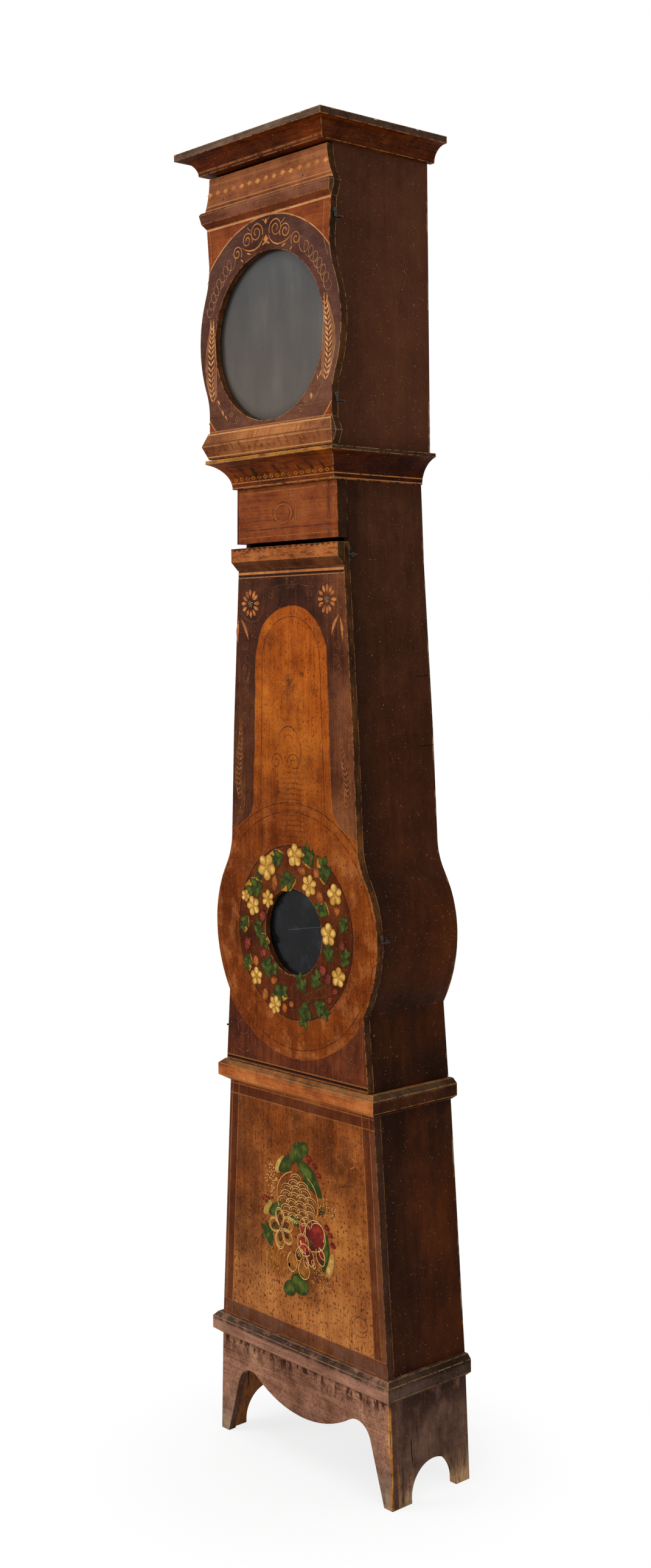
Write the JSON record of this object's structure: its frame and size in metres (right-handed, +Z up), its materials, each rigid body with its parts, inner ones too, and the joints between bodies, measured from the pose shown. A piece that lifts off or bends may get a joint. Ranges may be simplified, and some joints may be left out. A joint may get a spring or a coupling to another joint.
{
  "type": "longcase clock",
  "caption": "Painted pine longcase clock with a violin-shaped trunk, glazed hood and porthole doors, pendulum, weights and striking cage movement.",
  "frame": {"origin": "centre of the bounding box, on the floor", "axes": "+Z up, the front of the clock faces -Y, +X to the viewer's right"},
  "size_m": [0.4652, 0.291, 2.3],
  "materials": {
    "painted_pine": "worn folk painting on pine",
    "dark_pine": "dark brown stain on pine",
    "wrought_iron": "forged, dull",
    "cast_weight": "rough cast",
    "brass": "aged",
    "enamel": "vitreous enamel",
    "hands": "blackened steel",
    "old_glass": "old, dusty",
    "gut_line": "twisted gut"
  },
  "bodies": {
    "case": {"plinth_front": "painted_pine", "plinth_side_left": "dark_pine", "plinth_side_right": "dark_pine", "lower_rail": "dark_pine", "base_front_panel": "painted_pine", "base_side_left": "dark_pine", "base_side_right": "dark_pine", "base_floor": "dark_pine", "base_back_board": "dark_pine", "middle_rail": "painted_pine", "trunk_side_left": "dark_pine", "trunk_side_right": "dark_pine", "trunk_frieze_block": "painted_pine", "trunk_back_board": "dark_pine", "hood_shelf_moulding": "painted_pine", "hood_side_left": "dark_pine", "hood_side_right": "dark_pine", "hood_back_board": "dark_pine", "seat_board": "dark_pine", "cornice": "painted_pine", "hood_top_board": "dark_pine", "case_ironwork": "wrought_iron", "movement_cage": "wrought_iron", "arbor_bars": "wrought_iron", "pendulum_cock": "wrought_iron", "dial": "enamel", "dial_surround": "brass", "bell_post": "wrought_iron", "bell": "brass"},
    "hood_door": {"hood_door_board": "painted_pine", "hood_door_upper_bar": "painted_pine", "hood_door_lower_bar": "painted_pine", "hood_door_glass": "old_glass", "hood_door_bead": "dark_pine", "hood_door_ironwork": "wrought_iron"},
    "hood_hook": {"hood_hook": "wrought_iron"},
    "trunk_door": {"trunk_door_board": "painted_pine", "trunk_door_top_bar": "painted_pine", "trunk_door_glass": "old_glass", "trunk_door_bead": "dark_pine", "trunk_door_ironwork": "wrought_iron"},
    "trunk_hook": {"trunk_hook": "wrought_iron"},
    "going_drum": {"going_drum": "brass"},
    "minute_work": {"minute_wheel": "brass", "minute_hand": "hands"},
    "hour_work": {"hour_hand": "hands"},
    "motion_wheel": {"motion_wheel": "brass"},
    "third_wheel": {"third_wheel": "brass"},
    "escape_wheel": {"escape_wheel": "brass"},
    "anchor": {"anchor": "wrought_iron"},
    "pendulum": {"pendulum_rod": "wrought_iron", "pendulum_bob": "brass"},
    "going_weight": {"going_weight": "cast_weight", "going_line": "gut_line"},
    "strike_drum": {"strike_drum": "brass"},
    "pin_wheel": {"pin_wheel": "brass"},
    "strike_fly": {"strike_fly": "wrought_iron"},
    "bell_hammer": {"bell_hammer": "wrought_iron"},
    "strike_weight": {"strike_weight": "cast_weight", "strike_line": "gut_line"}
  },
  "joints": [
    {"name": "hood_door_hinge", "type": "hinge", "parent": "case", "child": "hood_door", "pos_m": [0.1685, -0.0895, 1.99], "axis": [0, 0, 1], "range_deg": [0, 100]},
    {"name": "trunk_door_hinge", "type": "hinge", "parent": "case", "child": "trunk_door", "pos_m": [0.2162, -0.0455, 0.941], "axis": [-0.1096, 0, 0.994], "range_deg": [0, 110]},
    {"name": "hood_hook_pivot", "type": "hinge", "parent": "case", "child": "hood_hook", "pos_m": [-0.1685, -0.0535, 1.828], "axis": [1, 0, 0], "range_deg": [0, 270]},
    {"name": "trunk_hook_pivot", "type": "hinge", "parent": "case", "child": "trunk_hook", "pos_m": [-0.192, -0.0095, 0.745], "axis": [1, 0, 0], "range_deg": [0, 270]},
    {"name": "pendulum_swing", "type": "hinge", "parent": "case", "child": "pendulum", "pos_m": [0, 0.1085, 2.0608], "axis": [0, 1, 0], "range_deg": [-3.4, 3.4]},
    {"name": "anchor_rock", "type": "hinge", "parent": "case", "child": "anchor", "pos_m": [0, 0.0485, 2.0608], "axis": [0, 1, 0], "range_deg": [-3.4, 3.4]},
    {"name": "escape_wheel_turn", "type": "hinge", "parent": "case", "child": "escape_wheel", "pos_m": [0, 0.0485, 2.0278], "axis": [0, 1, 0], "continuous": true},
    {"name": "going_drum_turn", "type": "hinge", "parent": "case", "child": "going_drum", "pos_m": [-0.052, 0.0415, 1.91934], "axis": [0, -1, 0], "range_deg": [-599, 1884]},
    {"name": "minute_hand_turn", "type": "hinge", "parent": "case", "child": "minute_work", "pos_m": [0, 0.0485, 1.959], "axis": [0, 1, 0], "continuous": true},
    {"name": "hour_hand_turn", "type": "hinge", "parent": "case", "child": "hour_work", "pos_m": [0, -0.0315, 1.959], "axis": [0, 1, 0], "continuous": true},
    {"name": "motion_wheel_turn", "type": "hinge", "parent": "case", "child": "motion_wheel", "pos_m": [0, -0.0235, 1.9298], "axis": [0, -1, 0], "continuous": true},
    {"name": "third_wheel_turn", "type": "hinge", "parent": "case", "child": "third_wheel", "pos_m": [0, 0.0485, 1.9934], "axis": [0, -1, 0], "continuous": true},
    {"name": "going_weight_travel", "type": "slide", "parent": "case", "child": "going_weight", "axis": [0, 0, 1], "range_m": [-0.88, 0.28], "deforming": ["going_line"]},
    {"name": "strike_drum_turn", "type": "hinge", "parent": "case", "child": "strike_drum", "pos_m": [0.052, 0.0415, 1.91934], "axis": [0, 1, 0], "range_deg": [-599, 1884]},
    {"name": "pin_wheel_turn", "type": "hinge", "parent": "case", "child": "pin_wheel", "pos_m": [0.052, 0.0485, 1.98474], "axis": [0, -1, 0], "continuous": true},
    {"name": "strike_fly_turn", "type": "hinge", "parent": "case", "child": "strike_fly", "pos_m": [0.052, 0.0485, 2.01714], "axis": [0, 1, 0], "continuous": true},
    {"name": "strike_weight_travel", "type": "slide", "parent": "case", "child": "strike_weight", "axis": [0, 0, 1], "range_m": [-0.88, 0.28], "deforming": ["strike_line"]},
    {"name": "bell_hammer_lift", "type": "hinge", "parent": "case", "child": "bell_hammer", "pos_m": [0.088, 0.0415, 2.0848], "axis": [0, 1, 0], "range_deg": [0, 12]}
  ],
  "couplings": [
    {"joint": "anchor_rock", "follows": "pendulum_swing", "ratio": 1},
    {"joint": "going_weight_travel", "follows": "going_drum_turn", "m_per_rad": -0.02675},
    {"joint": "minute_hand_turn", "follows": "going_drum_turn", "ratio": 12},
    {"joint": "hour_hand_turn", "follows": "going_drum_turn", "ratio": 1},
    {"joint": "motion_wheel_turn", "follows": "going_drum_turn", "ratio": 4},
    {"joint": "third_wheel_turn", "follows": "going_drum_turn", "ratio": 90},
    {"joint": "strike_weight_travel", "follows": "strike_drum_turn", "m_per_rad": -0.02675},
    {"joint": "pin_wheel_turn", "follows": "strike_drum_turn", "ratio": 12},
    {"joint": "strike_fly_turn", "follows": "strike_drum_turn", "ratio": 84}
  ]
}
